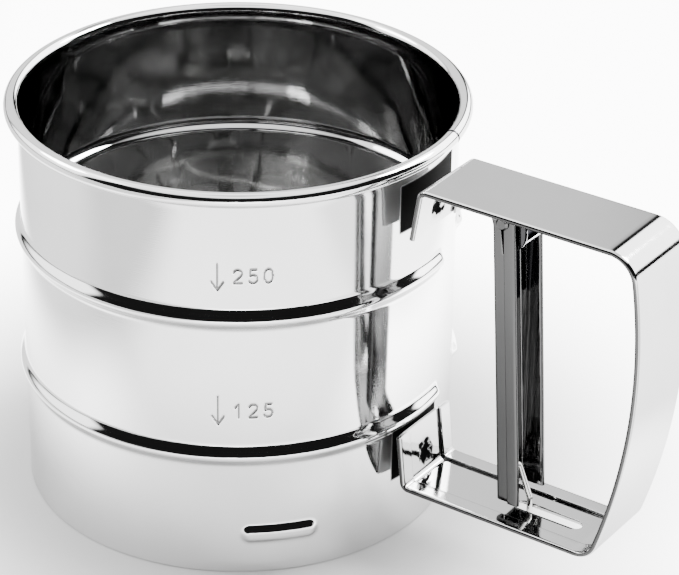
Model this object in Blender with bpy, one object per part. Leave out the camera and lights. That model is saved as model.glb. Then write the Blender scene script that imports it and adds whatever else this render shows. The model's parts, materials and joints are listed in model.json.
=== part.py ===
"""Flour sifter with a squeeze handle.

A sheet-steel cup with a rolled rim and two pressed beads holds a wire screen near its foot.
Squeezing the trigger towards the grip pulls a wire link, which turns a four-bladed agitator
over the screen. A flat hairpin spring pushes the trigger back.

Lengths are millimetres measured from the cup's axis, with the handle along +X and the foot at
Z = 0. MM and CUP_X bring them to metres and to the part's own frame, whose origin is below the
middle of the whole sifter.
"""

import math

import bmesh
import bpy
from mathutils import Matrix, Vector

MM = 0.001
TOUCH = 0.3            # gap between pieces that touch on the real sifter
RUN = 0.15             # radial gap of a turning fit

# Cup
CUP_RADIUS = 50.0
CUP_HEIGHT = 96.4
SHEET = 0.6
CUP_COLUMNS = 72
RIM_ROLL = 1.74        # outer radius of the rolled edge
RIM_CURL_END = math.radians(-112)
FOOT_HEM = 1.5
FOOT_HEM_HEIGHT = 3.6
BEAD_CENTRES = (30.8, 65.1)
BEAD_HALF = 2.9
BEAD_DEPTH = 1.4
SEAM_AZIMUTH = math.radians(21.6)
BEAD_GAP_HALF = math.radians(9.6)
POCKET_AZIMUTHS = tuple(math.radians(-43.3 + 120 * turn) for turn in range(3))
POCKET_HALF = math.radians(10.7)
POCKET_Z = (7.5, 8.7, 11.8, 13.0)
POCKET_DEPTH = 1.0

# Screen and its supports
RING_INNER = 46.4
RING_OUTER = CUP_RADIUS - SHEET - 0.4
RING_SHEET = 0.6
RING_Z = 8.6
RING_TAB = 0.8
SCREEN_THICKNESS = 0.3
SPIDER_SHEET = 0.8
SPIDER_LEG = 6.0
SPIDER_HUB = 7.0
WASHER_SHEET = 0.6

# Agitator
PIVOT_RADIUS = 1.5
HUB_RADIUS = 4.2
HUB_HEIGHT = 4.2
BLADE_COUNT = 4
BLADE_SHEET = 0.9
BLADE_REACH = 45.0
CRANK_RADIUS = 12.0
CRANK_SHEET = 1.0
CRANK_EYE = 5.0

# Handle strap
STRAP_HALF = 10.5
STRAP_HEM_EDGE = 6.3
STRAP_SKIN = 0.6
STRAP_EDGE = 1.35      # thickness where the edge is folded back on the strap
STRAP_TOP = 92.0
STRAP_BOTTOM = 15.05
PLATE_BEND = 2.2
UPPER_PLATE = (53.1, 79.5)     # back face at the plate's free end
UPPER_PLATE_BEND_X = 55.1      # back face where the plate meets the top bar
LOWER_PLATE = (51.25, 28.5)
LOWER_PLATE_BEND_X = 52.7
GRIP_TOP = (109.2, 86.0)
GRIP_BULGE = ((112.6, 66.0), (111.6, 44.0))
GRIP_BOTTOM = (103.8, 19.3)
HANDLE_REACH = 111.0
SLOT_WIDTH = 3.0
SLOT_ENDS = (77.0, 94.4)

# Trigger and its hinge
HINGE = (74.0, 87.9)
HINGE_PIN_RADIUS = 1.0
TRIGGER_WEB_TOP = (70.8, 88.6)
TRIGGER_WEB_BOTTOM = (75.2, 19.0)
TRIGGER_HALF = 5.5
TRIGGER_DEPTH = 6.0
TRIGGER_SHEET = 0.7
TRIGGER_HEM = 2.0
TRIGGER_HEM_SHEET = 0.6
SQUEEZE = math.radians(11.5)
CURL_CENTRE = (74.0, 85.2)
CURL_RADIUS = 4.7
BRACKET_SHEET = 0.8
BRACKET_HALF = 4.5
BRACKET_ENDS = (66.0, 79.5)
SPRING_SHEET = 0.5
SPRING_HALF = 3.4
SPRING_END_Z = 66.0

# Wire link
WIRE_RADIUS = 0.65
HOOK = (77.2, 27.0)
LINK_LEG_X = 80.8
LINK_RUN_Z = 13.4
LINK_INNER_Z = 17.9
LINK_STRAIGHT_END = 36.0
LINK_RAISED = 30.0

# Values that follow from the dimensions above
RIM_CENTRE_RADIUS = CUP_RADIUS - SHEET + RIM_ROLL
RIM_OUTER = RIM_CENTRE_RADIUS + RIM_ROLL
CUP_X = -(HANDLE_REACH - RIM_OUTER) / 2
HOOK_ARM = (HOOK[0] - HINGE[0], HINGE[1] - HOOK[1])
LINK_TRAVEL = HOOK_ARM[1] * math.sin(SQUEEZE) - HOOK_ARM[0] * (1 - math.cos(SQUEEZE))
CRANK_HALF_SWEEP = math.atan(LINK_TRAVEL / 2 / CRANK_RADIUS)
CRANK_AZIMUTH = -math.pi / 2 - CRANK_HALF_SWEEP
CRANK_PIN = (-LINK_TRAVEL / 2, -CRANK_RADIUS)
CRANK_FAR = math.hypot(*CRANK_PIN)
SCREEN_Z = RING_Z + RING_SHEET + TOUCH
SCREEN_TOP = SCREEN_Z + SCREEN_THICKNESS
RING_TOP = SCREEN_TOP + TOUCH + RING_SHEET
SPIDER_Z = RING_Z - TOUCH - SPIDER_SHEET
WASHER_Z = SCREEN_TOP + TOUCH
HUB_Z = WASHER_Z + WASHER_SHEET + TOUCH
CRANK_Z = HUB_Z + HUB_HEIGHT + TOUCH
BLADE_Z = SCREEN_TOP + 0.5
CAP_WASHER_Z = CRANK_Z + CRANK_SHEET + TOUCH
CAP_Z = CAP_WASHER_Z + WASHER_SHEET + TOUCH


# ---------------------------------------------------------------- scene and materials

def clear_scene():
    for item in list(bpy.data.objects):
        bpy.data.objects.remove(item, do_unlink=True)


def steel(name, colour, roughness):
    material = bpy.data.materials.new(name)
    material.use_nodes = True
    shader = material.node_tree.nodes["Principled BSDF"]
    shader.inputs["Base Color"].default_value = (*colour, 1.0)
    shader.inputs["Metallic"].default_value = 1.0
    shader.inputs["Roughness"].default_value = roughness
    return material


def axis_empty(name, point):
    empty = bpy.data.objects.new(name, None)
    x, y, z = point
    empty.location = Vector(((x + CUP_X) * MM, y * MM, z * MM))
    bpy.context.collection.objects.link(empty)
    return empty


def solid(name, geometry, material=None, carrier=None):
    """Make an object from (vertices, faces) in millimetres; a carrier is its joint's empty."""
    vertices, faces = geometry
    mesh = bpy.data.meshes.new(name)
    mesh.from_pydata([((x + CUP_X) * MM, y * MM, z * MM) for x, y, z in vertices], [], faces)
    shape = bmesh.new()
    shape.from_mesh(mesh)
    bmesh.ops.remove_doubles(shape, verts=shape.verts, dist=1e-7)
    bmesh.ops.recalc_face_normals(shape, faces=shape.faces)
    shape.to_mesh(mesh)
    shape.free()
    mesh.shade_smooth()
    mesh.set_sharp_from_angle(angle=math.radians(35))
    item = bpy.data.objects.new(name, mesh)
    bpy.context.collection.objects.link(item)
    if material:
        mesh.materials.append(material)
    if carrier:
        mesh.transform(Matrix.Translation(-carrier.location))
        item.parent = carrier
    return item


def cut(target, name, geometry):
    """Subtract a closed shape from an object."""
    cutter = solid(name, geometry, carrier=target.parent)
    cutter.hide_render = True
    cutter.display_type = "WIRE"
    boolean = target.modifiers.new(name, "BOOLEAN")
    boolean.operation = "DIFFERENCE"
    boolean.solver = "EXACT"
    boolean.object = cutter


# ---------------------------------------------------------------- shapes

def turned(profile, columns=24, closed=True):
    """Turn an (r, z) outline about Z; an open outline starts and ends on the axis."""
    return turned_by(lambda azimuth: profile, columns, closed)


def turned_by(profile_at, columns, closed=True):
    """Turn an outline that may change with the azimuth."""
    vertices = []
    for column in range(columns):
        azimuth = 2 * math.pi * column / columns
        for radius, z in profile_at(azimuth):
            vertices.append((radius * math.cos(azimuth), radius * math.sin(azimuth), z))
    count = len(vertices) // columns
    faces = []
    for column in range(columns):
        here = column * count
        there = (column + 1) % columns * count
        for point in range(count if closed else count - 1):
            after = (point + 1) % count
            faces.append((here + point, there + point, there + after, here + after))
    return vertices, faces


def washer(inner, outer, low, high, columns=24):
    return turned([(outer, low), (outer, high), (inner, high), (inner, low)], columns)


def slab(outline, low, high, across="z"):
    """Extrude an outline along Z (outline in X, Y) or along Y (outline in X, Z)."""
    if across == "z":
        vertices = [(x, y, level) for level in (low, high) for x, y in outline]
    else:
        vertices = [(x, level, z) for level in (low, high) for x, z in outline]
    count = len(outline)
    faces = [tuple(range(count)), tuple(range(count, 2 * count))]
    for point in range(count):
        after = (point + 1) % count
        faces.append((point, after, after + count, point + count))
    return vertices, faces


def skinned(rings):
    """Join equal rings of points into a closed bar with flat ends."""
    count = len(rings[0])
    vertices = [point for ring in rings for point in ring]
    faces = [tuple(range(count)), tuple(range(len(vertices) - count, len(vertices)))]
    for start in range(0, len(vertices) - count, count):
        for point in range(count):
            after = (point + 1) % count
            faces.append((start + point, start + after, start + count + after, start + count + point))
    return vertices, faces


def strip(section, path):
    """Sweep a (depth, y) section along an (x, z) path; depth is to the left of the path."""
    rings = []
    for index, (x, z) in enumerate(path):
        before = Vector(path[max(index - 1, 0)])
        after = Vector(path[min(index + 1, len(path) - 1)])
        along = (after - before).normalized()
        rings.append([(x - along.y * depth, y, z + along.x * depth) for depth, y in section])
    return skinned(rings)


def tube(points, radius, sides=10):
    """A round wire along a smooth list of points."""
    points = [Vector(point) for point in points]
    along = (points[1] - points[0]).normalized()
    side = along.orthogonal().normalized()
    rings = []
    for index, point in enumerate(points):
        before = points[max(index - 1, 0)]
        after = points[min(index + 1, len(points) - 1)]
        along = (after - before).normalized()
        side = (side - along * side.dot(along)).normalized()
        other = along.cross(side)
        turns = [2 * math.pi * step / sides for step in range(sides)]
        rings.append([tuple(point + (side * math.cos(a) + other * math.sin(a)) * radius) for a in turns])
    return skinned(rings)


def arc(centre, radius, start, end, steps):
    """Points on an arc, both ends included."""
    angles = [start + (end - start) * step / steps for step in range(steps + 1)]
    return [(centre[0] + radius * math.cos(a), centre[1] + radius * math.sin(a)) for a in angles]


def filleted(corners, radii, steps=5):
    """Round the inner corners of a path in two or three dimensions."""
    corners = [Vector(corner) for corner in corners]
    points = [corners[0]]
    for corner, before, after, radius in zip(corners[1:-1], corners, corners[2:], radii):
        back = (before - corner).normalized()
        ahead = (after - corner).normalized()
        half = back.angle(ahead) / 2
        centre = corner + (back + ahead).normalized() * radius / math.sin(half)
        start = corner + back * radius / math.tan(half) - centre
        end = corner + ahead * radius / math.tan(half) - centre
        turn = start.angle(end)
        for step in range(steps + 1):
            part = turn * step / steps
            points.append(centre + (start * math.sin(turn - part) + end * math.sin(part)) / math.sin(turn))
    return [tuple(point) for point in points + [corners[-1]]]


def bezier(ends, pulls, steps):
    """Points of a cubic curve between two ends, with both ends included."""
    points = []
    for step in range(steps + 1):
        t = step / steps
        weights = ((1 - t) ** 3, 3 * t * (1 - t) ** 2, 3 * t * t * (1 - t), t ** 3)
        knots = (ends[0], pulls[0], pulls[1], ends[1])
        points.append(tuple(sum(w * knot[k] for w, knot in zip(weights, knots)) for k in (0, 1)))
    return points


def stadium(start, end, radius, steps=6):
    """Outline of a slot whose round ends are centred on two points."""
    heading = math.atan2(end[1] - start[1], end[0] - start[0])
    far = arc(end, radius, heading - math.pi / 2, heading + math.pi / 2, steps)
    near = arc(start, radius, heading + math.pi / 2, heading + 3 * math.pi / 2, steps)
    return far + near


def circle(centre, radius, sides=16):
    return arc(centre, radius, 0.0, 2 * math.pi * (sides - 1) / sides, sides - 1)


def polar(radius, azimuth):
    return radius * math.cos(azimuth), radius * math.sin(azimuth)


# ---------------------------------------------------------------- cup

def angle_between(azimuth, other):
    return abs(math.remainder(azimuth - other, 2 * math.pi))


def inside(distance, half):
    """1 well inside a patch, 0 well outside it, with a sloped edge one column wide."""
    slope = 2 * math.pi / CUP_COLUMNS
    return min(max((half - distance) / slope + 0.5, 0.0), 1.0)


def in_pocket(azimuth):
    return max(inside(angle_between(azimuth, pocket), POCKET_HALF) for pocket in POCKET_AZIMUTHS)


def cup_profile(azimuth):
    """Closed (r, z) outline of the cup's sheet at one azimuth."""
    bead = 1 - inside(angle_between(azimuth, SEAM_AZIMUTH), BEAD_GAP_HALF)
    pocket = in_pocket(azimuth)
    pressed = [(POCKET_Z[0], 0.0), (POCKET_Z[1], POCKET_DEPTH * pocket),
               (POCKET_Z[2], POCKET_DEPTH * pocket), (POCKET_Z[3], 0.0)]
    for centre in BEAD_CENTRES:
        for step in range(5):
            height = math.sin(math.pi * step / 4) ** 2
            pressed.append((centre + BEAD_HALF * (step / 2 - 1), BEAD_DEPTH * height * bead))
    inner = CUP_RADIUS - SHEET
    roll = (RIM_CENTRE_RADIUS, CUP_HEIGHT - RIM_ROLL)
    outside = [(CUP_RADIUS, 0.0)] + [(CUP_RADIUS + out, z) for z, out in pressed]
    curl = arc(roll, RIM_ROLL - SHEET, math.pi, RIM_CURL_END, 8)
    curl += arc(roll, RIM_ROLL, RIM_CURL_END, math.pi, 8)
    lining = [(inner + out, z) for z, out in reversed(pressed)]
    hem = [(inner, FOOT_HEM_HEIGHT + FOOT_HEM - SHEET), (CUP_RADIUS - FOOT_HEM, FOOT_HEM_HEIGHT),
           (CUP_RADIUS - FOOT_HEM, 0.0)]
    return outside + curl + lining + hem


def cup_shell(material):
    shell = solid("cup_shell", turned_by(cup_profile, CUP_COLUMNS), material)
    middle = CUP_RADIUS - SHEET / 2
    hole = tube([(middle - 3, 0, LINK_RUN_Z), (middle + 3, 0, LINK_RUN_Z)], WIRE_RADIUS + 0.75, 16)
    cut(shell, "link_hole", hole)


def mesh_ring(material):
    """U-shaped ring that is crimped over the screen's edge, with tabs in the cup's pockets."""
    web = RING_OUTER - RING_SHEET

    def profile(azimuth):
        outer = RING_OUTER + RING_TAB * in_pocket(azimuth)
        return [(outer, RING_Z), (outer, RING_TOP), (RING_INNER, RING_TOP),
                (RING_INNER, RING_TOP - RING_SHEET), (web, RING_TOP - RING_SHEET),
                (web, RING_Z + RING_SHEET), (RING_INNER, RING_Z + RING_SHEET), (RING_INNER, RING_Z)]

    solid("mesh_ring", turned_by(profile, CUP_COLUMNS), material)


def mesh_screen(material):
    edge = RING_OUTER - RING_SHEET - TOUCH
    solid("mesh_screen", washer(PIVOT_RADIUS + TOUCH, edge, SCREEN_Z, SCREEN_TOP, CUP_COLUMNS), material)


def support_spider(material):
    """Three flat legs below the screen, which carry the agitator's pivot."""
    reach = RING_OUTER - 1.0
    root = math.asin(SPIDER_LEG / 2 / SPIDER_HUB)
    outline = []
    for azimuth in POCKET_AZIMUTHS:
        x, y = polar(reach, azimuth)
        side_x, side_y = polar(SPIDER_LEG / 2, azimuth + math.pi / 2)
        outline += [(x - side_x, y - side_y), (x + side_x, y + side_y)]
        outline += arc((0, 0), SPIDER_HUB, azimuth + root, azimuth + math.radians(120) - root, 6)
    spider = solid("support_spider", slab(outline, SPIDER_Z, SPIDER_Z + SPIDER_SHEET), material)
    bore = circle((0, 0), PIVOT_RADIUS + TOUCH)
    cut(spider, "spider_bore", slab(bore, SPIDER_Z - 1, SPIDER_Z + SPIDER_SHEET + 1))


def pivot(material):
    """Rivet through the spider and the screen, and the cap pressed on its upper end."""
    top = CAP_Z + 1.7
    head = SPIDER_Z - TOUCH
    profile = [(0, head - 0.9), (2.4, head - 0.9), (3.2, head), (PIVOT_RADIUS, head),
               (PIVOT_RADIUS, top), (0, top)]
    solid("pivot_pin", turned(profile, closed=False), material)
    bore = PIVOT_RADIUS + TOUCH
    dome = arc((0, CAP_Z + 1.0), 3.2, 0.0, math.pi / 2, 5)
    cap = [(0, top + TOUCH), (bore, top + TOUCH), (bore, CAP_Z), (3.2, CAP_Z)]
    squashed = [(radius, CAP_Z + 1.0 + (z - CAP_Z - 1.0) * 0.55) for radius, z in dome[:-1]]
    solid("pivot_cap", turned(cap + squashed + [(0, CAP_Z + 1.0 + 3.2 * 0.55)], closed=False), material)


# ---------------------------------------------------------------- agitator

def agitator_hub(material, carrier):
    bore = PIVOT_RADIUS + RUN
    low, high = HUB_Z, HUB_Z + HUB_HEIGHT
    profile = [(HUB_RADIUS, low), (HUB_RADIUS, high), (bore, high), (bore, low)]
    solid("agitator_hub", turned(profile), material, carrier)


def agitator_blades(material, carrier):
    """Upright blades that sweep the screen; their outer ends are low, to pass below the link."""
    inner = HUB_RADIUS + TOUCH
    top = HUB_Z + HUB_HEIGHT - 0.2
    outline = [(inner, HUB_Z + 0.2), (SPIDER_HUB - 0.6, HUB_Z + 0.2), (SPIDER_HUB, BLADE_Z),
               (BLADE_REACH - 0.5, BLADE_Z), (BLADE_REACH, BLADE_Z + 0.5), (BLADE_REACH, 11.6),
               (BLADE_REACH - 0.5, 12.0), (34.0, 12.0), (27.0, top), (inner, top)]
    for number in range(BLADE_COUNT):
        azimuth = CRANK_AZIMUTH + 2 * math.pi * (number + 0.5) / BLADE_COUNT
        across_x, across_y = polar(BLADE_SHEET / 2, azimuth + math.pi / 2)
        rings = []
        for side in (-1, 1):
            flat = [polar(radius, azimuth) for radius, z in outline]
            rings.append([(x + side * across_x, y + side * across_y, z)
                          for (x, y), (radius, z) in zip(flat, outline)])
        solid(f"agitator_blade_{number + 1}", skinned(rings), material, carrier)


def crank_arm(material, carrier):
    """Arm on top of the hub; a short radial slot takes the link's pin."""
    middle = (CRANK_RADIUS + CRANK_FAR) / 2
    eye, end = (0.0, 0.0), polar(middle, CRANK_AZIMUTH)
    end_radius = 3.6
    lean = math.acos((CRANK_EYE - end_radius) / middle)
    outline = arc(end, end_radius, CRANK_AZIMUTH - lean, CRANK_AZIMUTH + lean, 8)
    outline += arc(eye, CRANK_EYE, CRANK_AZIMUTH + lean, CRANK_AZIMUTH + 2 * math.pi - lean, 12)
    arm = solid("crank_arm", slab(outline, CRANK_Z, CRANK_Z + CRANK_SHEET), material, carrier)
    cut(arm, "crank_bore", slab(circle(eye, PIVOT_RADIUS + RUN), CRANK_Z - 1, CRANK_Z + CRANK_SHEET + 1))
    slot = stadium(polar(CRANK_RADIUS - 0.4, CRANK_AZIMUTH), polar(CRANK_FAR + 0.4, CRANK_AZIMUTH),
                   WIRE_RADIUS + TOUCH)
    cut(arm, "crank_slot", slab(slot, CRANK_Z - 1, CRANK_Z + CRANK_SHEET + 1))


# ---------------------------------------------------------------- handle

def strap_path():
    """Outer face of the strap, from the lower plate round the grip to the upper plate."""
    lean_in = (GRIP_BULGE[1][0] - GRIP_BOTTOM[0]) / (GRIP_BULGE[1][1] - GRIP_BOTTOM[1])
    lean_out = (GRIP_BULGE[0][0] - GRIP_TOP[0]) / (GRIP_TOP[1] - GRIP_BULGE[0][1])
    foot_corner = (GRIP_BOTTOM[0] - lean_in * (GRIP_BOTTOM[1] - STRAP_BOTTOM), STRAP_BOTTOM)
    top_corner = (GRIP_TOP[0] - lean_out * (STRAP_TOP - GRIP_TOP[1]), STRAP_TOP)
    grip = bezier((GRIP_BOTTOM, GRIP_TOP), GRIP_BULGE[::-1], 12)
    bottom = filleted([LOWER_PLATE, (LOWER_PLATE_BEND_X, STRAP_BOTTOM), foot_corner, grip[1]],
                      (PLATE_BEND, corner_radius(foot_corner, GRIP_BOTTOM, math.atan(lean_in))))
    top = filleted([grip[-2], top_corner, (UPPER_PLATE_BEND_X, STRAP_TOP), UPPER_PLATE],
                   (corner_radius(top_corner, GRIP_TOP, math.atan(lean_out)), PLATE_BEND))
    return bottom[:-1] + grip[1:-1] + top[1:]


def corner_radius(corner, start, lean):
    """Radius of the fillet that begins where the grip's curve ends."""
    tangent = math.dist(corner, start)
    turn = math.pi / 2 - lean
    return tangent / math.tan(turn / 2)


def handle_strap(material):
    """One strap bent into the whole handle, with both edges folded back on its inner side."""
    half, hem, chamfer = STRAP_HALF, STRAP_HEM_EDGE, 0.35
    side = [(0, half - chamfer), (chamfer, half), (STRAP_EDGE - chamfer, half),
            (STRAP_EDGE, half - chamfer), (STRAP_EDGE, hem), (STRAP_SKIN, hem)]
    section = side + [(depth, -y) for depth, y in reversed(side)]
    strap = solid("handle_strap", strip(section, strap_path()), material)
    start, end = SLOT_ENDS
    slot = stadium((start + SLOT_WIDTH / 2, 0), (end - SLOT_WIDTH / 2, 0), SLOT_WIDTH / 2)
    cut(strap, "link_slot", slab(slot, STRAP_BOTTOM - 2, STRAP_BOTTOM + 4))


def hinge_bracket(material):
    """Saddle under the top bar: a base plate with two half-round ears inside the trigger."""
    low, high = BRACKET_ENDS
    top = STRAP_TOP - STRAP_SKIN - TOUCH
    base = top - BRACKET_SHEET
    outline = [(low, top), (low, base), (72.4, base), (72.4, HINGE[1] - 0.4)]
    outline += arc(CURL_CENTRE, CURL_RADIUS, -math.pi / 2, 0.0, 8)
    outline += [(CURL_CENTRE[0] + CURL_RADIUS, base), (high, base), (high, top)]
    bracket = solid("hinge_bracket", slab(outline, -BRACKET_HALF, BRACKET_HALF, "y"), material)
    gap = BRACKET_HALF - BRACKET_SHEET
    box = [(low - 5, base), (high + 5, base), (high + 5, base - 20), (low - 5, base - 20)]
    cut(bracket, "bracket_gap", slab(box, -gap, gap, "y"))
    bore = circle(HINGE, HINGE_PIN_RADIUS + RUN)
    cut(bracket, "bracket_bore", slab(bore, -BRACKET_HALF - 1, BRACKET_HALF + 1, "y"))


def hinge_pin(material):
    """Rivet across the trigger and the bracket's ears."""
    shoulder = TRIGGER_HALF + TRIGGER_HEM_SHEET + TOUCH
    head, thickness = 1.5, 0.5
    profile = [(0, -shoulder - thickness), (head * 0.7, -shoulder - thickness), (head, -shoulder),
               (HINGE_PIN_RADIUS, -shoulder), (HINGE_PIN_RADIUS, shoulder), (head, shoulder),
               (head * 0.7, shoulder + thickness), (0, shoulder + thickness)]
    vertices, faces = turned(profile, 16, closed=False)
    laid = [(HINGE[0] + x, z, HINGE[1] + y) for x, y, z in vertices]
    solid("hinge_pin", (laid, faces), material)


# ---------------------------------------------------------------- trigger

def trigger_channel(material, carrier):
    """Pressed channel, open towards the grip, with the free edges folded back outside."""
    half, sheet, depth = TRIGGER_HALF, TRIGGER_SHEET, TRIGGER_DEPTH
    outer = half + TRIGGER_HEM_SHEET
    bend = 0.8
    side = [(0, half - bend), (bend, half), (depth - TRIGGER_HEM, half), (depth - TRIGGER_HEM, outer),
            (depth, outer), (depth, half - sheet), (sheet, half - sheet)]
    section = side + [(d, -y) for d, y in reversed(side)]
    rings = []
    for x, z in (TRIGGER_WEB_BOTTOM, TRIGGER_WEB_TOP):
        rings.append([(x + d, y, z) for d, y in section])
    channel = solid("trigger", skinned(rings), material, carrier)
    cut(channel, "trigger_bore", slab(circle(HINGE, HINGE_PIN_RADIUS + RUN), -outer - 1, outer + 1, "y"))
    swing = Matrix.Rotation(-SQUEEZE, 2)
    reached = swing @ Vector((HOOK_ARM[0] + LINK_TRAVEL, -HOOK_ARM[1])) + Vector(HINGE)
    slot = stadium(HOOK, tuple(reached), WIRE_RADIUS + 0.35)
    cut(channel, "hook_slot", slab(slot, -outer - 1, 0, "y"))


def return_spring(material, carrier):
    """Flat hairpin spring: a leg under the top bar, a curl round the hinge, a leg on the web."""
    radius = CURL_RADIUS - SPRING_SHEET / 2
    leave = math.radians(-55)
    curl = arc(CURL_CENTRE, radius, math.pi / 2, leave, 14)
    web_x, web_z = TRIGGER_WEB_TOP
    web_lean = (TRIGGER_WEB_BOTTOM[0] - web_x) / (web_z - TRIGGER_WEB_BOTTOM[1])
    standoff = TRIGGER_SHEET + TOUCH + SPRING_SHEET / 2

    def beside_web(z):
        return web_x + (web_z - z) * web_lean + standoff

    x, z = curl[-1]
    meet_z = 78.9
    leg = filleted([(x, z), (beside_web(meet_z), meet_z), (beside_web(SPRING_END_Z), SPRING_END_Z)], (2.5,))
    path = [(BRACKET_ENDS[0] + 1, CURL_CENTRE[1] + radius)] + curl + leg[1:]
    half = SPRING_SHEET / 2
    section = [(-half, -SPRING_HALF), (half, -SPRING_HALF), (half, SPRING_HALF), (-half, SPRING_HALF)]
    solid("return_spring", strip(section, path), material, carrier)


# ---------------------------------------------------------------- link

def link_rod(material, carrier):
    """Wire from the trigger's near side, down through the bar's slot and into the cup."""
    pin_x, pin_y = CRANK_PIN
    corners = [(HOOK[0], -TRIGGER_HALF + 0.1, HOOK[1]), (HOOK[0], 0, HOOK[1]), (LINK_LEG_X, 0, 18.2),
               (LINK_LEG_X, 0, LINK_RUN_Z), (LINK_STRAIGHT_END, 0, LINK_RUN_Z),
               (LINK_RAISED, 0, LINK_INNER_Z), (-pin_x, pin_y, LINK_INNER_Z),
               (pin_x, pin_y, LINK_INNER_Z), (pin_x, pin_y, CRANK_Z - 1.5)]
    points = filleted(corners, (1.6, 2.0, 1.6, 3.0, 3.0, 4.0, 1.6), 4)
    solid("link_rod", tube(points, WIRE_RADIUS), material, carrier)


def link_retainer(material, carrier):
    """Push-on washer on the link's pin, below the crank."""
    pin_x, pin_y = CRANK_PIN
    low = CRANK_Z - TOUCH - 0.7
    vertices, faces = washer(WIRE_RADIUS + TOUCH, 2.3, low, low + 0.5, 16)
    solid("link_retainer", ([(x + pin_x, y + pin_y, z) for x, y, z in vertices], faces), material, carrier)


# ---------------------------------------------------------------- the whole sifter

def build():
    clear_scene()
    polished = steel("polished_steel", (0.78, 0.78, 0.78), 0.08)
    pressed = steel("pressed_steel", (0.70, 0.70, 0.70), 0.18)
    wire = steel("wire_steel", (0.72, 0.72, 0.72), 0.15)
    woven = steel("woven_steel", (0.62, 0.62, 0.62), 0.3)
    sprung = steel("spring_steel", (0.55, 0.55, 0.56), 0.22)

    cup_shell(polished)
    mesh_ring(pressed)
    mesh_screen(woven)
    support_spider(pressed)
    pivot(pressed)
    bore = PIVOT_RADIUS + TOUCH
    solid("screen_washer", washer(bore, 5.5, WASHER_Z, WASHER_Z + WASHER_SHEET), pressed)
    solid("cap_washer", washer(bore, 3.6, CAP_WASHER_Z, CAP_WASHER_Z + WASHER_SHEET), pressed)
    handle_strap(polished)
    hinge_bracket(pressed)
    hinge_pin(pressed)

    trigger_axis = axis_empty("trigger_axis", (HINGE[0], 0, HINGE[1]))
    trigger_channel(polished, trigger_axis)
    return_spring(sprung, trigger_axis)

    link_axis = axis_empty("link_axis", (LINK_LEG_X, 0, LINK_RUN_Z))
    link_rod(wire, link_axis)
    link_retainer(sprung, link_axis)

    agitator_axis = axis_empty("agitator_axis", (0, 0, HUB_Z))
    agitator_hub(pressed, agitator_axis)
    agitator_blades(pressed, agitator_axis)
    crank_arm(pressed, agitator_axis)


build()
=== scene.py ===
"""Looks of the flour sifter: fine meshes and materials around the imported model.

Lengths are millimetres measured from the cup's axis, with the handle along +X and the foot at
Z = 0, as in the model's own source. MM and CUP_X bring them to the row frame.
"""

import json
import math

import bmesh
import bpy
import numpy as np
from mathutils import Matrix, Vector


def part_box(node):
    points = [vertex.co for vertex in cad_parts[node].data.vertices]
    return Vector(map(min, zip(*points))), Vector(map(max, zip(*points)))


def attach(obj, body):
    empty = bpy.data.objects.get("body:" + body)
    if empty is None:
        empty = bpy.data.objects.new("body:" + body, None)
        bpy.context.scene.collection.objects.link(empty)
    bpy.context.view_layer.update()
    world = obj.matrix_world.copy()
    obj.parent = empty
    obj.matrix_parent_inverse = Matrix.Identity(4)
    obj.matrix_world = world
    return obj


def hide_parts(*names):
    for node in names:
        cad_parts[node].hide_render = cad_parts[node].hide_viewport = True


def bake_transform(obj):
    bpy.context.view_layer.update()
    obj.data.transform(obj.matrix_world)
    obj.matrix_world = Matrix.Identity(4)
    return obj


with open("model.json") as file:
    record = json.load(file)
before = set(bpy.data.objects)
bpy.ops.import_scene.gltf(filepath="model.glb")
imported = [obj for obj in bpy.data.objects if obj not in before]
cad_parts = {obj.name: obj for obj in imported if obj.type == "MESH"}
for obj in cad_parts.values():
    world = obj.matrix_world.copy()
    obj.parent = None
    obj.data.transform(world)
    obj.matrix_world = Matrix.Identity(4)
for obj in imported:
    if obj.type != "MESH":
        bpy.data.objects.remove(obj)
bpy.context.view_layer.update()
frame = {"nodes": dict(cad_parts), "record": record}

MM = 0.001
DEGREE = math.radians(1)
CUP_X = sum(corner.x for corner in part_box("cup_shell")) / 2 / MM

# Cup
CUP_RADIUS = 50.0
CUP_HEIGHT = 96.4
SHEET = 0.6
RIM_ROLL = 1.74
RIM_CENTRE = (CUP_RADIUS - SHEET + RIM_ROLL, CUP_HEIGHT - RIM_ROLL)
RIM_CURL_END = math.radians(-112)
RIM_TIP = RIM_CURL_END - 0.12
RIM_JOINT = math.radians(12.5)                     # where the two ends of the rolled rim meet
RIM_JOINT_DEPTH = 0.14
RIM_JOINT_HALF = 0.4
RIM_JOINT_DARK_HALF = 0.32
FOOT_ROUND = 0.5
FOOT_HEM = 1.5
FOOT_HEM_HEIGHT = 3.6
FOOT_HEM_ROUND = 0.45
FOOT_HEM_SLOPE = 0.9
SEAM_AZIMUTH = math.radians(21.6)
SEAM_DEPTH = 0.04
SEAM_HALF = 0.35
BEAD_CENTRES = (30.8, 65.1)
BEAD_HALF = 2.9
BEAD_INSIDE_HALF = 1.9
BEAD_DEPTH = 1.4
BEAD_GAP_HALF = math.radians(9.6)
BEAD_END = 0.8                                     # where its middle line ends past the gap, in half widths
POCKET_AZIMUTHS = tuple(math.radians(-163.3 + 120 * turn) for turn in range(3))
POCKET_HALF = math.radians(10.7)
POCKET_MIDDLE_Z = 10.25
POCKET_HALF_HEIGHT = 2.75
POCKET_SLOPE = 2.3
POCKET_DEPTH = 1.0
LINK_HOLE_RADIUS = 1.4

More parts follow.
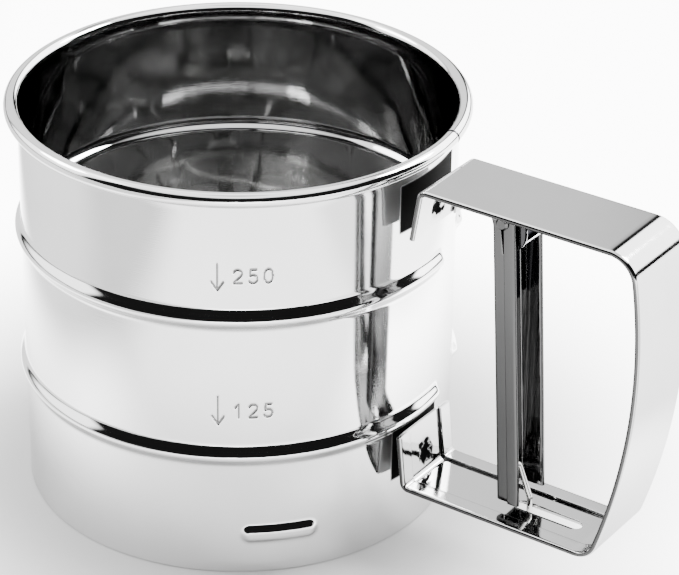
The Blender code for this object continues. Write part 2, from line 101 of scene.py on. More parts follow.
# Level marks, pressed into the wall
MARKS = {"250": (78.8, 72.5, 74.1), "125": (45.9, 39.0, 40.6)}   # arrow top, arrow tip, numeral base
MARK_DEPTH = 0.22
MARK_HALF_WIDTH = 0.38
# half width of the painted shade along the middle of each stroke's groove
MARK_SHADE_HALF = 0.55 * MARK_HALF_WIDTH
MARK_HEIGHT = 3.6
MARK_ADVANCE = 0.92 * MARK_HEIGHT
MARK_SPAN = (math.radians(-61.5), math.radians(-42.5))
ARROW_AZIMUTH = math.radians(-59.0)
ARROW_HEAD = (1.3, 2.0)                            # half width and height
NUMERAL_AZIMUTH = math.radians(-55.2)

# The wall's grid: steps of columns in degrees and rows in millimetres, and lines across the link's hole
COLUMN_STEPS = {"mark": 0.22, "groove": 0.2, "end": 0.6, "plain": 3.0}
ROW_STEPS = {"mark": 0.22, "bead": 0.35, "pocket": 0.4, "plain": 4.0}
HOLE_LINES = (-1, -0.5, 0, 0.5, 1)
HOLE_SLACK = 0.014

# Screen and its ring
RING_INNER = 46.4
RING_OUTER = CUP_RADIUS - SHEET - 0.4
RING_Z = 8.6
RING_TOP = 10.7
RING_SHEET = 0.6
RING_SOFT = 0.2
RING_TAB = 0.8
RING_TAB_SLOPE = 2.0
SCREEN_Z = 9.65
SCREEN_EDGE = 48.1
SCREEN_PITCH = 1.15
SCREEN_WIRE = 0.13
PIVOT_CLEAR = 1.8

# Handle strap
STRAP_HALF = 10.5
STRAP_HEM_EDGE = 6.3
STRAP_HEM_ROOT = 9.4
STRAP_HEM_GAP = 0.15
STRAP_SKIN = 0.6
STRAP_EDGE = 1.35
STRAP_TOP = 92.0
STRAP_BOTTOM = 15.05
STRAP_STEP = 0.9
PLATE_BEND = 2.2
PLATES_END_X = 62.0
UPPER_PLATE = (53.1, 79.5)
UPPER_PLATE_BEND_X = 55.1
LOWER_PLATE = (51.25, 28.5)
LOWER_PLATE_BEND_X = 52.7
GRIP_TOP = (109.2, 86.0)
GRIP_BULGE = ((112.6, 66.0), (111.6, 44.0))
GRIP_BOTTOM = (103.8, 19.3)
SLOT_WIDTH = 3.0
SLOT_ENDS = (77.0, 94.4)
WELD_DENTS = ((0.1, 20.6), (-0.5, 84.5))           # y and z of the spot welds in the two plates
WELD_DENT_DEPTH = 0.5
WELD_DENT_REACH = 3.4
WELD_MARKS = (                                     # boxes of dark tint round the welds
    ((47, -2.2, 18.1), (57, 2.4, 22.8)),
    ((49, -2.6, 82.2), (59, 1.4, 86.8)),
)
SHADE_BEHIND_PLATES = (                                     # boxes of painted shade on the wall in the dark gaps behind the plates
    ((45, -8.1, 78.6), (52, 15.0, 90.2)),
    ((45, -8.8, 15.5), (52, 9.0, 28.8)),
)

# Trigger
HINGE = (74.0, 87.9)
HINGE_BORE_RADIUS = 1.15
TRIGGER_WEB_TOP = (70.8, 88.6)
TRIGGER_WEB_BOTTOM = (75.2, 19.0)
TRIGGER_HALF = 5.5
TRIGGER_DEPTH = 6.0
TRIGGER_SHEET = 0.7
TRIGGER_BEND = 0.9
TRIGGER_HEM = 2.8
TRIGGER_HEM_SIDES = (TRIGGER_HALF + 0.1, TRIGGER_HALF + 0.6)
TRIGGER_FLARE = 0.9
TRIGGER_FLARE_HEIGHT = 3.0
TRIGGER_FLARE_DEPTH = 2.0
CREASE_X = TRIGGER_WEB_TOP[0] + TRIGGER_DEPTH - TRIGGER_HEM
CREASE_TOP = TRIGGER_WEB_TOP[1] + 1
CREASE = ((CREASE_X - 1.5, CREASE_TOP), (CREASE_X + 0.2, CREASE_TOP), (CREASE_X + 0.55, 80.4))
CREASE_FROM_Y = 3.5

# Hairpin spring
CURL_CENTRE = (74.0, 85.2)
CURL_RADIUS = 4.7
CURL_END = math.radians(-55)
SPRING_START_X = 67.0
SPRING_MEETS_WEB_Z = 78.9
SPRING_END_Z = 66.0
SPRING_SHEET = 0.5
SPRING_HALF = 3.4
SPRING_SOFT = 0.12
SPRING_GAP = 0.3

# Wire link
WIRE_RADIUS = 0.65
HOOK = (77.2, 27.0)
HOOK_SLOT_END = (HOOK[0] + 0.2, HOOK[1] + 1.8)
HOOK_SLOT_RADIUS = WIRE_RADIUS + 0.35
LINK_LEG = (80.8, 18.2)
LINK_RUN_Z = 13.4
LINK_INNER_Z = 17.9
LINK_END_Z = 14.0
LINK_STRAIGHT_END = 36.0
LINK_RAISED = 30.0
LINK_TRAVEL = 12.08
LINK_BENDS = (1.6, 2.0, 1.6, 3.0, 3.0, 4.0, 1.6)
CRANK_RADIUS = 12.0

# Small parts, by the body they ride on
SMALL_PARTS = {
    "root": ("support_spider", "pivot_pin", "pivot_cap", "screen_washer", "cap_washer", "hinge_bracket",
             "hinge_pin"),
    "link": ("link_retainer",),
    "agitator": ("agitator_hub", *(f"agitator_blade_{number}" for number in range(1, 5)), "crank_arm"),
}
SOFT_RADIUS = 0.12
SOFT_ANGLE = math.radians(40)
# The hinge's pin and bracket sit inside the trigger and get near-black steel as painted shade
LOOKS = {"hinge_pin": "painted_shade_steel", "hinge_bracket": "shade_and_joint_black"}

# Camera: where it looks, and from where
CAMERA_TARGET = (14.9, 19.7, 42.2)
CAMERA_DISTANCE = 680.0
CAMERA_AZIMUTH = math.radians(-55.84)
CAMERA_ELEVATION = math.radians(28.51)
CAMERA_ROLL = 0.0165
CAMERA_LENS = 152.4

# Steel: scales of the noises, their depths in millimetres, and the range that each noise is cut to
SMUDGE_SCALE = 55.0
GRAIN_SCALE = 900.0
WAVE_SCALE = 38.0
RAGGED_SCALE = 420.0
WAVE_DEPTH = 0.6
GRAIN_DEPTH = 0.02
GRAIN_GLOSS = 0.02
SMUDGE_SHADE = 0.94
NOISE_RANGE = (0.3, 0.7)
# Tone, roughness and soft edge of the dark boxes: real weld stains, and painted shade behind the plates
STAIN_AND_SHADE_TONE = 0.003
STAIN_AND_SHADE_ROUGHNESS = 0.9
STAIN_AND_SHADE_SOFT = 0.8
FINISH_TABLE = {       # tint, roughness, stretch and strength of the grain, strength of the waves
    "polished_steel": ((0.82, 0.82, 0.82), (0.04, 0.07), (0.2, 0.2, 6), 0.25, 0.1),
    "pressed_steel": ((0.6, 0.6, 0.59), (0.1, 0.2), (1, 1, 1), 0.5, 0.05),
    "wire_steel": ((0.5, 0.5, 0.49), (0.08, 0.16), (1, 1, 0.2), 0.3, 0.0),
    # darker copy of the steel for the cup's inner faces: painted shade inside the cup
    "cup_inside_painted_shade": ((0.44, 0.44, 0.44), (0.02, 0.045), (0.2, 0.2, 6), 0.1, 0.8),
    "strap_steel": ((0.56, 0.56, 0.56), (0.04, 0.08), (0.3, 6, 0.3), 0.3, 0.06),
    # painted shade: a darker copy of the steel for the trigger, the hinge's pin and the strap's fold sides
    "painted_shade_steel": ((0.085, 0.085, 0.085), (0.08, 0.16), (1, 1, 0.15), 0.5, 0.1),
    # deeper painted shade for the trigger's channel and the web's face towards the cup
    "painted_deep_shade_steel": ((0.18, 0.18, 0.18), (0.05, 0.12), (1, 1, 0.04), 1.0, 0.3),
    # painted shade in the grooves of the level marks
    "mark_groove_shade": ((0.16, 0.16, 0.16), (0.2, 0.3), (1, 1, 1), 0.3, 0.0),
    # painted shade for the hinge's bracket and the spring, and the dark line of the rim's joint
    "shade_and_joint_black": ((0.05, 0.05, 0.052), (0.08, 0.16), (0.2, 1, 1), 0.4, 0.1),
    "rough_steel": ((0.4, 0.4, 0.4), (0.5, 0.6), (1, 1, 1), 0.4, 0.0),
    "woven_steel": ((0.25, 0.25, 0.245), (0.2, 0.32), (1, 1, 1), 0.4, 0.0),
    "spring_steel": ((0.7, 0.7, 0.71), (0.08, 0.16), (0.2, 1, 1), 0.4, 0.0),
}
FINISH_EXTRAS = {
    "polished_steel": {"stains_and_shade": SHADE_BEHIND_PLATES},
    "cup_inside_painted_shade": {"wave_stretch": 0.08},
    "strap_steel": {"stains_and_shade": WELD_MARKS, "ragged": 1.5},
    "painted_deep_shade_steel": {"grain_depth": 0.12},
}

# Studio: headings from +X and elevations in degrees, distances in metres
FRONT = -56.0
FLOOR_HALF = 6.0
FLOOR_SHADE = 0.45
# Painted light on the floor: a glow for the lamps' light, low round the cup as a painted contact shadow and
# low to the front and left as painted shade
PAINTED_CONTACT_SHADOW = (0.03, 1.0, 0.050, 0.150)          # glow at a stretch's start and end, and where they are
GLOW_TO_FRONT = (10.0, 2.4, 0.030, 0.100)
GLOW_FAR_FRONT = (1.0, 3.0, 0.22, 0.45)
GLOW_TO_LEFT = (0.07, 1.0, -0.140, -0.078)
GLOW_TO_RIGHT = (1.0, 0.5, 0.125, 0.160)
SKY_DARK = 0.012
SKY_PANELS = (                                     # headings, elevations, brightness, softness
    ((46, 107), (8, 47), 8.0, 4),                  # bright wall at the right, behind
    ((116, 168), (5, 60), 1.9, 6),                 # grey wall at the left, behind
    ((172, 182), (5, 60), 4.0, 8),                 # wall at the left, in two halves that meet at 180
    ((-182, -132), (5, 60), 4.0, 8),
    ((-190, 190), (54, 84), 3.0, 14),              # ring of ceiling
)
LAMPS = {                                          # heading, elevation, power
    "key_softbox": (60, 48, 25.0),
    "fill_softbox": (200, 40, 8.0),
}
LAMP_DISTANCE = 1.3
LAMP_SIZE = 0.5


# ---------------- nodes of materials

def node(tree, kind, output, inputs=(), **settings):
    """Add a shader node and return one of its outputs; each input is a value or another's output."""
    item = tree.nodes.new("ShaderNode" + kind)
    for name, value in settings.items():
        setattr(item, name, value)
    feed(tree, item, dict(inputs))
    return item.outputs[output]


def feed(tree, item, inputs):
    for name, value in inputs.items():
        if isinstance(value, bpy.types.NodeSocket):
            tree.links.new(value, item.inputs[name])
        else:
            item.inputs[name].default_value = value


def combined(tree, operation, *values, clamp=False):
    """Add or multiply values one after the other."""
    result = values[0]
    for value in values[1:]:
        result = node(tree, "Math", "Value", {0: result, 1: value}, operation=operation, use_clamp=clamp)
    return result


def smooth(tree, value, low, high, start, end, curve="SMOOTHSTEP"):
    """Go from low to high while value goes from start to end, and stay there beyond."""
    inputs = {"Value": value, "From Min": start, "From Max": end, "To Min": low, "To Max": high}
    return node(tree, "MapRange", "Result", inputs, interpolation_type=curve)


def window(tree, value, low, high, soft):
    """1 between low and high and 0 outside, with soft edges."""
    rise = smooth(tree, value, 0.0, 1.0, low - soft / 2, low + soft / 2)
    return combined(tree, "MULTIPLY", rise, smooth(tree, value, 1.0, 0.0, high - soft / 2, high + soft / 2))


def noise(tree, place, scale, detail, stretch=(1, 1, 1)):
    """Noise on the object's own coordinates; stretch scales each axis first."""
    stretched = node(tree, "Mapping", "Vector", {"Vector": place, "Scale": stretch})
    return node(tree, "TexNoise", "Fac", {"Vector": stretched, "Scale": scale, "Detail": detail})


def from_noise(tree, value, low, high):
    return smooth(tree, value, low, high, *NOISE_RANGE, curve="LINEAR")


def bumped(tree, height, depth, strength, below=None):
    """Normals of a bumpy surface, on top of those below it; the depth is in millimetres."""
    inputs = {"Height": height, "Distance": depth * MM, "Strength": strength}
    if below:
        inputs["Normal"] = below
    return node(tree, "Bump", "Normal", inputs)


# ---------------- materials

def steel(name, tint, roughness, grain_stretch, grain_strength, wave_strength, wave_stretch=0.35,
          grain_depth=GRAIN_DEPTH, stains_and_shade=(), ragged=0.0):
    """Bare steel: smudges vary its gloss, fine lines follow the rolling, slow waves bend reflections."""
    material = bpy.data.materials.new(name)
    material.use_nodes = True
    tree = material.node_tree
    place = node(tree, "TexCoord", "Object")
    smudge = noise(tree, place, SMUDGE_SCALE, 4.0)
    grain = noise(tree, place, GRAIN_SCALE, 2.0, grain_stretch)
    wave = noise(tree, place, WAVE_SCALE, 1.0, (1, 1, wave_stretch))
    lines = from_noise(tree, grain, 0.0, GRAIN_GLOSS)
    gloss = combined(tree, "ADD", from_noise(tree, smudge, *roughness), lines)
    clean = (*tint, 1.0)
    smudged = (*(channel * SMUDGE_SHADE for channel in tint), 1.0)
    shade = mixed(tree, from_noise(tree, smudge, 0.0, 1.0), smudged, clean, "RGBA")
    # Dark boxes: real weld stains on the strap, and painted shade on the wall behind the plates
    if stains_and_shade:
        uneven = ragged_place(tree, place, ragged)
        inside = combined(tree, "ADD", *(stain_and_shade_box(tree, uneven, low, high) for low, high in stains_and_shade), clamp=True)
        shade = mixed(tree, inside, shade, (STAIN_AND_SHADE_TONE, STAIN_AND_SHADE_TONE, STAIN_AND_SHADE_TONE, 1.0), "RGBA")
        gloss = mixed(tree, inside, gloss, STAIN_AND_SHADE_ROUGHNESS, "FLOAT")
    waved = bumped(tree, wave, WAVE_DEPTH, wave_strength)
    feed(tree, tree.nodes["Principled BSDF"], {
        "Metallic": 1.0, "Specular Tint": clean, "Base Color": shade, "Roughness": gloss,
        "Normal": bumped(tree, grain, grain_depth, grain_strength, waved),
    })
    return material


def mixed(tree, share, first, second, kind):
    return node(tree, "Mix", "Result", {"Factor": share, "A": first, "B": second}, data_type=kind)


def ragged_place(tree, place, reach):
    """Places moved about by up to reach millimetres, so that a box's edges become uneven.

    Most of the noise lies within a quarter of the middle of its range, so it is scaled four times."""
    colours = node(tree, "TexNoise", "Color", {"Vector": place, "Scale": RAGGED_SCALE})
    centred = node(tree, "VectorMath", "Vector", {0: colours, 1: (0.5, 0.5, 0.5)}, operation="SUBTRACT")
    scaled = node(tree, "VectorMath", "Vector", {0: centred, "Scale": 4 * reach * MM}, operation="SCALE")
    return node(tree, "VectorMath", "Vector", {0: place, 1: scaled}, operation="ADD")


def stain_and_shade_box(tree, place, low, high):
    """1 inside a box given by two corners in millimetres, fading to 0 at its faces."""
    sides = []
    for axis, start, end, shift in zip("XYZ", low, high, (CUP_X, 0, 0)):
        value = node(tree, "SeparateXYZ", axis, {"Vector": place})
        sides.append(window(tree, value, (start + shift) * MM, (end + shift) * MM, STAIN_AND_SHADE_SOFT * MM))
    return combined(tree, "MULTIPLY", *sides)


def finishes():
    """One material for each slot of the record, and others for particular faces: rough backs of the plates,
    and darker copies of the steel that paint shade on shaded faces, hollows and grooves.
    """
    return {name: steel(name, *row, **FINISH_EXTRAS.get(name, {})) for name, row in FINISH_TABLE.items()}


# ---------------- making pieces

def new_object(name, data):
    item = bpy.data.objects.new(name, data)
    bpy.context.collection.objects.link(item)
    return item


def mesh_piece(name, geometry, smooth_angle=40, normals=None):
    """An object from (vertices, faces) in millimetres, in the row frame."""
    vertices, faces = geometry
    placed = (np.array(vertices, float) + (CUP_X, 0, 0)) * MM
    mesh = bpy.data.meshes.new(name)
    mesh.from_pydata(placed.tolist(), [], faces)
    if normals is None:
        shape = bmesh.new()
        shape.from_mesh(mesh)
        bmesh.ops.remove_doubles(shape, verts=shape.verts, dist=1e-7)
        bmesh.ops.recalc_face_normals(shape, faces=shape.faces)
        shape.to_mesh(mesh)
        shape.free()
        mesh.shade_smooth()
        mesh.set_sharp_from_angle(angle=math.radians(smooth_angle))
    else:
        mesh.shade_smooth()
        mesh.normals_split_custom_set_from_vertices(normals)
    return new_object(name, mesh)


def carve(target, cutters):
    """Subtract closed shapes from an object, and keep only the result."""
    helpers = []
    for number, geometry in enumerate(cutters):
        helper = mesh_piece(f"cutter_{number}", geometry)
        helpers.append(helper)
        boolean = target.modifiers.new(helper.name, "BOOLEAN")
        boolean.operation = "DIFFERENCE"
        boolean.solver = "EXACT"
        boolean.object = helper
    settle(target)
    for helper in helpers:
        bpy.data.objects.remove(helper, do_unlink=True)


def settle(item):
    """Replace an object's mesh by what its modifiers make of it."""
    bpy.context.view_layer.update()
    evaluated = item.evaluated_get(bpy.context.evaluated_depsgraph_get())
    mesh = bpy.data.meshes.new_from_object(evaluated)
    item.modifiers.clear()
    item.data = mesh


def finish_piece(item, slot, body, *nodes, look=None):
    """Give a piece its material and its body, and hide the model's nodes that it stands for."""
    item.data.materials.clear()
    item.data.materials.append(FINISHES[look or slot])
    if not item.data.has_custom_normals:
        weighted = item.modifiers.new("weighted_normals", "WEIGHTED_NORMAL")
        weighted.keep_sharp = True
    if body:
        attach(item, body)
    if nodes:
        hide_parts(*nodes)


def repaint(item, look, chosen):
    """Give another finish to the faces that are chosen by their centres and normals.

    Both are arrays of x, y, z, and the centres are measured from the cup's axis in millimetres."""
    item.data.materials.append(FINISHES[look])
    count = len(item.data.polygons)
    centres, normals = np.empty(count * 3), np.empty(count * 3)
    item.data.polygons.foreach_get("center", centres)
    item.data.polygons.foreach_get("normal", normals)
    index = np.empty(count, np.int32)
    item.data.polygons.foreach_get("material_index", index)
    x, y, z = centres.reshape(-1, 3).T / MM
    index[chosen((x - CUP_X, y, z), normals.reshape(-1, 3).T)] = len(item.data.materials) - 1
    item.data.polygons.foreach_set("material_index", index)


# ---------------- shapes

def turned(profile_at, columns):
    """Turn a closed (r, z) outline about Z; profile_at gives it for an azimuth."""
    vertices = []
    for column in range(columns):
        azimuth = 2 * math.pi * column / columns
        for radius, z in profile_at(azimuth):
            vertices.append((radius * math.cos(azimuth), radius * math.sin(azimuth), z))
    count = len(vertices) // columns
    faces = []
    for column in range(columns):
        here = column * count
        there = (column + 1) % columns * count
        for point in range(count):
            after = (point + 1) % count
            faces.append((here + point, there + point, there + after, here + after))
    return vertices, faces


def slab(outline, low, high, across="z"):
    """Extrude an outline along Z (outline in X, Y) or along Y (outline in X, Z)."""
    if across == "z":
        return skinned([[(x, y, level) for x, y in outline] for level in (low, high)])
    return skinned([[(x, level, z) for x, z in outline] for level in (low, high)])


def skinned(rings):
    """Join equal rings of points into a closed bar with flat ends."""
    count = len(rings[0])
    vertices = [point for ring in rings for point in ring]
    faces = [tuple(range(count)), tuple(range(len(vertices) - count, len(vertices)))]
    for start in range(0, len(vertices) - count, count):
        for point in range(count):
            after = (point + 1) % count
            faces.append((start + point, start + after, start + count + after, start + count + point))
    return vertices, faces


def heading_at(path, index):
    """Unit vector along a path at one of its points."""
    before = Vector(path[max(index - 1, 0)])
    after = Vector(path[min(index + 1, len(path) - 1)])
    return (after - before).normalized()


def strip(section, path, press=None):
    """Sweep a (depth, y) section along an (x, z) path; press(y, x, z) is added to the depth."""
    rings = []
    for index, (x, z) in enumerate(path):
        along = heading_at(path, index)
        ring = []
        for depth, y in section:
            reach = depth + (press(y, x, z) if press else 0.0)
            ring.append((x - along.y * reach, y, z + along.x * reach))
        rings.append(ring)
    return skinned(rings)


def tube(path, radius, sides=20):
    """A round wire with slightly tapered ends along a smooth path."""
    side = heading_at(path, 0).orthogonal().normalized()
    turns = [2 * math.pi * step / sides for step in range(sides)]
    rings = []
    for index, point in enumerate(path):
        along = heading_at(path, index)
        side = (side - along * side.dot(along)).normalized()
        other = along.cross(side)
        reach = radius * (0.8 if index in (0, len(path) - 1) else 1.0)
        centre = Vector(point)
        rings.append([tuple(centre + (side * math.cos(a) + other * math.sin(a)) * reach) for a in turns])
    return skinned(rings)


def arc(centre, radius, start, end, steps):
    """Points on an arc, both ends included."""
    angles = [start + (end - start) * step / steps for step in range(steps + 1)]
    return [(centre[0] + radius * math.cos(a), centre[1] + radius * math.sin(a)) for a in angles]


def filleted(corners, radii, steps):
    """Round the inner corners of a path in two or three dimensions."""
    corners = [Vector(corner) for corner in corners]
    points = [corners[0]]
    for corner, before, after, radius in zip(corners[1:-1], corners, corners[2:], radii):
        back = (before - corner).normalized()
        ahead = (after - corner).normalized()
        half = back.angle(ahead) / 2
        centre = corner + (back + ahead).normalized() * radius / math.sin(half)
        start = corner + back * radius / math.tan(half) - centre
        end = corner + ahead * radius / math.tan(half) - centre
        turn = start.angle(end)
        for step in range(steps + 1):
            part = turn * step / steps
            points.append(centre + (start * math.sin(turn - part) + end * math.sin(part)) / math.sin(turn))
    return [tuple(point) for point in points + [corners[-1]]]


def bezier(ends, pulls, steps):
    """Points of a cubic curve between two ends, with both ends included."""
    knots = (ends[0], *pulls, ends[1])
    points = []
    for step in range(steps + 1):
        t = step / steps
        weights = ((1 - t) ** 3, 3 * t * (1 - t) ** 2, 3 * t * t * (1 - t), t ** 3)
        points.append(tuple(sum(w * knot[k] for w, knot in zip(weights, knots)) for k in (0, 1)))
    return points


def spaced(points, step):
    """Add points so that no stretch of a path is longer than step."""
    result = [points[0]]
    for start, end in zip(points, points[1:]):
        parts = max(1, math.ceil(math.dist(start, end) / step))
        for part in range(1, parts + 1):
            t = part / parts
            result.append(tuple(a + (b - a) * t for a, b in zip(start, end)))
    return result


def stadium(start, end, radius, steps=10):
    """Outline of a slot whose round ends are centred on two points."""
    heading = math.atan2(end[1] - start[1], end[0] - start[0])
    far = arc(end, radius, heading - math.pi / 2, heading + math.pi / 2, steps)
    near = arc(start, radius, heading + math.pi / 2, heading + 3 * math.pi / 2, steps)
    return far + near


def circle(centre, radius, sides=32):
    return arc(centre, radius, 0.0, 2 * math.pi * (sides - 1) / sides, sides - 1)


def hump(distance, reach):
    """A smooth bump: 1 at distance 0, and 0 from reach on."""
    return np.cos(np.clip(distance / reach, 0.0, 1.0) * math.pi / 2) ** 2


def slope(edge, width):
    """0 outside an edge, rising smoothly to 1 at width inside it."""
    return hump(width - np.clip(edge, 0.0, width), width)


def angle_between(azimuth, other):
    return np.abs((azimuth - other + math.pi) % (2 * math.pi) - math.pi)


def graded(stops, zones, widest, growth=0.35):
    """Values from the first stop to the last, which is left out, through every stop.

    A zone is (low, high, step); outside it the step grows until it reaches the widest."""
    values = []
    for start, end in zip(stops, stops[1:]):
        fine = np.linspace(start, end, 400)
        middles = (fine[1:] + fine[:-1]) / 2
        step = np.full(len(middles), widest)
        for low, high, narrow in zones:
            outside = np.maximum(np.maximum(low - middles, middles - high), 0.0)
            step = np.minimum(step, narrow + growth * outside)
        total = np.concatenate([[0.0], np.cumsum((fine[1] - fine[0]) / step)])
        count = max(1, round(total[-1]))
        values.extend(np.interp(np.arange(count) * total[-1] / count, total, fine))
    return np.array(values)


# ---------------- cup

def numeral_strokes(digit):
    """Centre lines of a plain 0, 1, 2 or 5, in a box one unit high and 0.6 wide."""
    if digit == "0":
        turns = np.linspace(0, 2 * math.pi, 25)
        return [[(0.3 + 0.26 * math.cos(a), 0.5 + 0.46 * math.sin(a)) for a in turns]]
    if digit == "1":
        return [[(0.12, 0.74), (0.34, 0.96), (0.34, 0.04)]]
    if digit == "2":
        bow = arc((0.3, 0.7), 0.25, math.radians(165), math.radians(-35), 10)
        return [bow + [(0.06, 0.05), (0.56, 0.05)]]
    bowl = arc((0.29, 0.32), 0.27, math.radians(125), math.radians(-150), 14)
    return [[(0.52, 0.95), (0.14, 0.95), (0.12, 0.54)] + bowl]


def mark_strokes():
    """Level marks as straight strokes ((x, z), (x, z)) on the unrolled wall."""
    half, head = ARROW_HEAD
    x = ARROW_AZIMUTH * CUP_RADIUS
    strokes = []
    for label, (top, tip, base) in MARKS.items():
        starts = ((x, top), (x - half, tip + head), (x + half, tip + head))
        strokes += [(start, (x, tip)) for start in starts]
        for place, digit in enumerate(label):
            left = NUMERAL_AZIMUTH * CUP_RADIUS + place * MARK_ADVANCE
            for line in numeral_strokes(digit):
                points = [(left + u * MARK_HEIGHT, base + v * MARK_HEIGHT) for u, v in line]
                strokes += list(zip(points, points[1:]))
    return strokes


def mark_distance(azimuth, z):
    """Distance from points of the wall to the nearest stroke of the level marks, up to 10 mm."""
    x = azimuth * CUP_RADIUS
    nearest = np.full(x.shape, 10.0)
    for (x0, z0), (x1, z1) in mark_strokes():
        run, rise = x1 - x0, z1 - z0
        part = np.clip(((x - x0) * run + (z - z0) * rise) / (run * run + rise * rise), 0.0, 1.0)
        nearest = np.minimum(nearest, np.hypot(x - x0 - part * run, z - z0 - part * rise))
    return nearest


def wall_offset(azimuth, z, bead_half=BEAD_HALF):
    """How far the pressed wall stands outside the plain cylinder."""
    from_seam = angle_between(azimuth, SEAM_AZIMUTH)
    short = CUP_RADIUS * np.maximum(BEAD_GAP_HALF + BEAD_HALF / CUP_RADIUS * BEAD_END - from_seam, 0.0)
    offset = -SEAM_DEPTH * hump(from_seam * CUP_RADIUS, SEAM_HALF)
    for centre in BEAD_CENTRES:
        offset = offset + BEAD_DEPTH * hump(np.hypot(short, z - centre), bead_half)
    straight = POCKET_HALF * CUP_RADIUS - POCKET_HALF_HEIGHT
    for pocket in POCKET_AZIMUTHS:
        past = np.maximum(angle_between(azimuth, pocket) * CUP_RADIUS - straight, 0.0)
        edge = POCKET_HALF_HEIGHT - np.hypot(past, z - POCKET_MIDDLE_Z)
        offset = offset + POCKET_DEPTH * slope(edge, POCKET_SLOPE)
    return offset


def cup_columns():
    """Azimuths of the grid's columns, closer together where the wall changes along its way round."""
    steps = {kind: step * DEGREE for kind, step in COLUMN_STEPS.items()}
    zones = [(*MARK_SPAN, steps["mark"])]
    for groove in (SEAM_AZIMUTH, RIM_JOINT):
        zones.append((groove - DEGREE / 2, groove + DEGREE / 2, steps["groove"]))
    for side in (-1, 1):
        bead_end = SEAM_AZIMUTH + side * (BEAD_GAP_HALF + BEAD_HALF / CUP_RADIUS)
        zones.append((bead_end - 3 * DEGREE, bead_end + 3 * DEGREE, steps["end"]))
        for pocket in POCKET_AZIMUTHS:
            pocket_end = pocket + side * POCKET_HALF
            zones.append((pocket_end - 2.5 * DEGREE, pocket_end + 1.5 * DEGREE, steps["end"]))
    hole = [line * LINK_HOLE_RADIUS / CUP_RADIUS for line in HOLE_LINES]
    return graded([-math.pi] + hole + [math.pi], zones, steps["plain"])


def cup_rows(with_marks):
    """Heights of the wall's rows, from the foot's round edge to the start of the roll."""
    pocket_reach, mark_edge = 3.0, 0.4
    zones = [(POCKET_MIDDLE_Z - pocket_reach, POCKET_MIDDLE_Z + pocket_reach, ROW_STEPS["pocket"])]
    zones += [(centre - BEAD_HALF, centre + BEAD_HALF, ROW_STEPS["bead"]) for centre in BEAD_CENTRES]
    if with_marks:
        zones += [(tip - mark_edge, top + mark_edge, ROW_STEPS["mark"]) for top, tip, base in MARKS.values()]
    hole = [LINK_RUN_Z + line * LINK_HOLE_RADIUS for line in HOLE_LINES]
    return graded([FOOT_ROUND] + hole + [RIM_CENTRE[1]], zones, ROW_STEPS["plain"])


def foot_outline():
    """Radius and height along the folded foot, from the inner wall round to just before the outer one."""
    fold = CUP_RADIUS - FOOT_HEM + FOOT_HEM_ROUND
    before_wall = -0.3
    outline = [(CUP_RADIUS - SHEET, FOOT_HEM_HEIGHT + FOOT_HEM_SLOPE)]
    outline += arc((fold, FOOT_HEM_HEIGHT - FOOT_HEM_ROUND), FOOT_HEM_ROUND, math.pi / 2, math.pi, 4)
    outline += arc((fold, FOOT_HEM_ROUND), FOOT_HEM_ROUND, math.pi, 1.5 * math.pi, 4)
    outline += arc((CUP_RADIUS - FOOT_ROUND, FOOT_ROUND), FOOT_ROUND, -math.pi / 2, before_wall, 4)
    return outline


def cup_grid():
    """The cup's closed sheet: azimuths, the radius and height at each (column, row), and how many rows
    are on the outer wall."""
    azimuth = cup_columns()[:, None]
    outer_rows = cup_rows(True)
    inner_rows = cup_rows(False)[::-1]
    inner_rows = inner_rows[inner_rows > FOOT_HEM_HEIGHT + FOOT_HEM_SLOPE + 0.05]
    pressed = MARK_DEPTH * hump(mark_distance(azimuth, outer_rows), MARK_HALF_WIDTH)
    outer = CUP_RADIUS + wall_offset(azimuth, outer_rows) - pressed
    inner = CUP_RADIUS - SHEET + wall_offset(azimuth, inner_rows, BEAD_INSIDE_HALF)
    curl = arc(RIM_CENTRE, RIM_ROLL - SHEET, math.pi, RIM_CURL_END, 16)
    curl += arc(RIM_CENTRE, RIM_ROLL - SHEET / 2, RIM_TIP, 0, 1)[:1]
    roll_r, roll_z = np.array(arc(RIM_CENTRE, RIM_ROLL, RIM_CURL_END, math.pi, 26)).T
    from_joint = angle_between(azimuth, RIM_JOINT) * CUP_RADIUS
    pull = RIM_JOINT_DEPTH / RIM_ROLL * hump(from_joint, RIM_JOINT_HALF)
    stretches = (
        (outer, outer_rows),
        np.array(curl).T,
        (roll_r + pull * (RIM_CENTRE[0] - roll_r), roll_z + pull * (RIM_CENTRE[1] - roll_z)),
        (inner, inner_rows),
        np.array(foot_outline()).T,
    )

    def whole(part):
        """The radius (0) or height (1) of all stretches, row after row."""
        return np.concatenate([values[part] + 0 * azimuth for values in stretches], axis=1)

    return azimuth, whole(0), whole(1), len(outer_rows)


def on_cylinder(azimuth, radius, height):
    """Points x, y, z along a new last axis."""
    return np.stack([radius * np.cos(azimuth), radius * np.sin(azimuth), height], axis=-1)


def grid_normals(points):
    """Vertex normals of a grid that closes on itself both ways, exact on uneven spacing."""
    def tangent(axis):
        ahead = np.roll(points, -1, axis) - points
        behind = points - np.roll(points, 1, axis)
        long_ahead = np.linalg.norm(ahead, axis=-1, keepdims=True)
        long_behind = np.linalg.norm(behind, axis=-1, keepdims=True)
        return ahead / long_ahead * long_behind + behind / long_behind * long_ahead

    normal = np.cross(tangent(0), tangent(1))
    return normal / np.linalg.norm(normal, axis=-1, keepdims=True)


